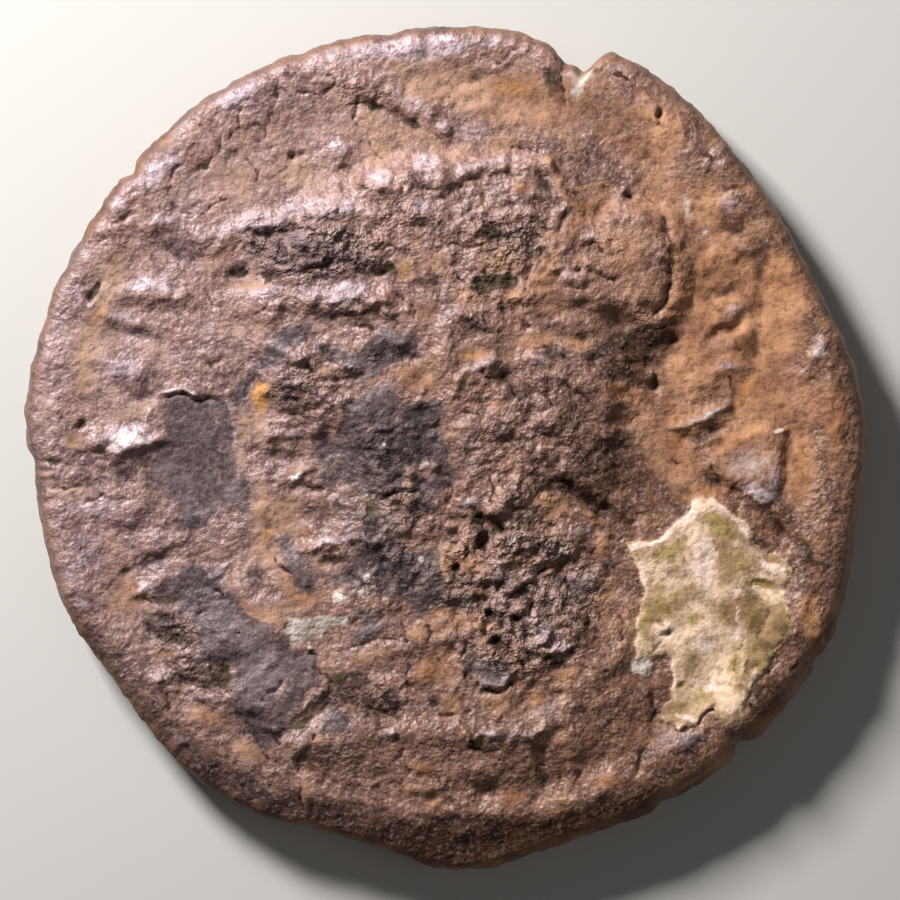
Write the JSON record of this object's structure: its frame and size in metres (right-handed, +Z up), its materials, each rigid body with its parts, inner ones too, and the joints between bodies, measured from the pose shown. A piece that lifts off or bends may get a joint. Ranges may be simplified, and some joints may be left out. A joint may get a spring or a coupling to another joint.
{
  "type": "ancient coin",
  "caption": "Ancient struck bronze coin with a draped bust in relief, a ragged cracked edge, brown patina and earthy crust.",
  "frame": {"origin": "on the surface the coin lies on, under the middle of its outline", "axes": "+Z up through the thickness, out of the portrait side; +Y is the portrait's up; the portrait faces +X"},
  "size_m": [0.0202, 0.0202, 0.0022],
  "materials": {
    "patinated_bronze": "granular purple-brown copper alloy, half gloss, with orange-tan earth in the hollows, charcoal flaked areas and one cream to yellow-green crust"
  },
  "bodies": {
    "root": {"coin": "patinated_bronze"}
  },
  "joints": []
}
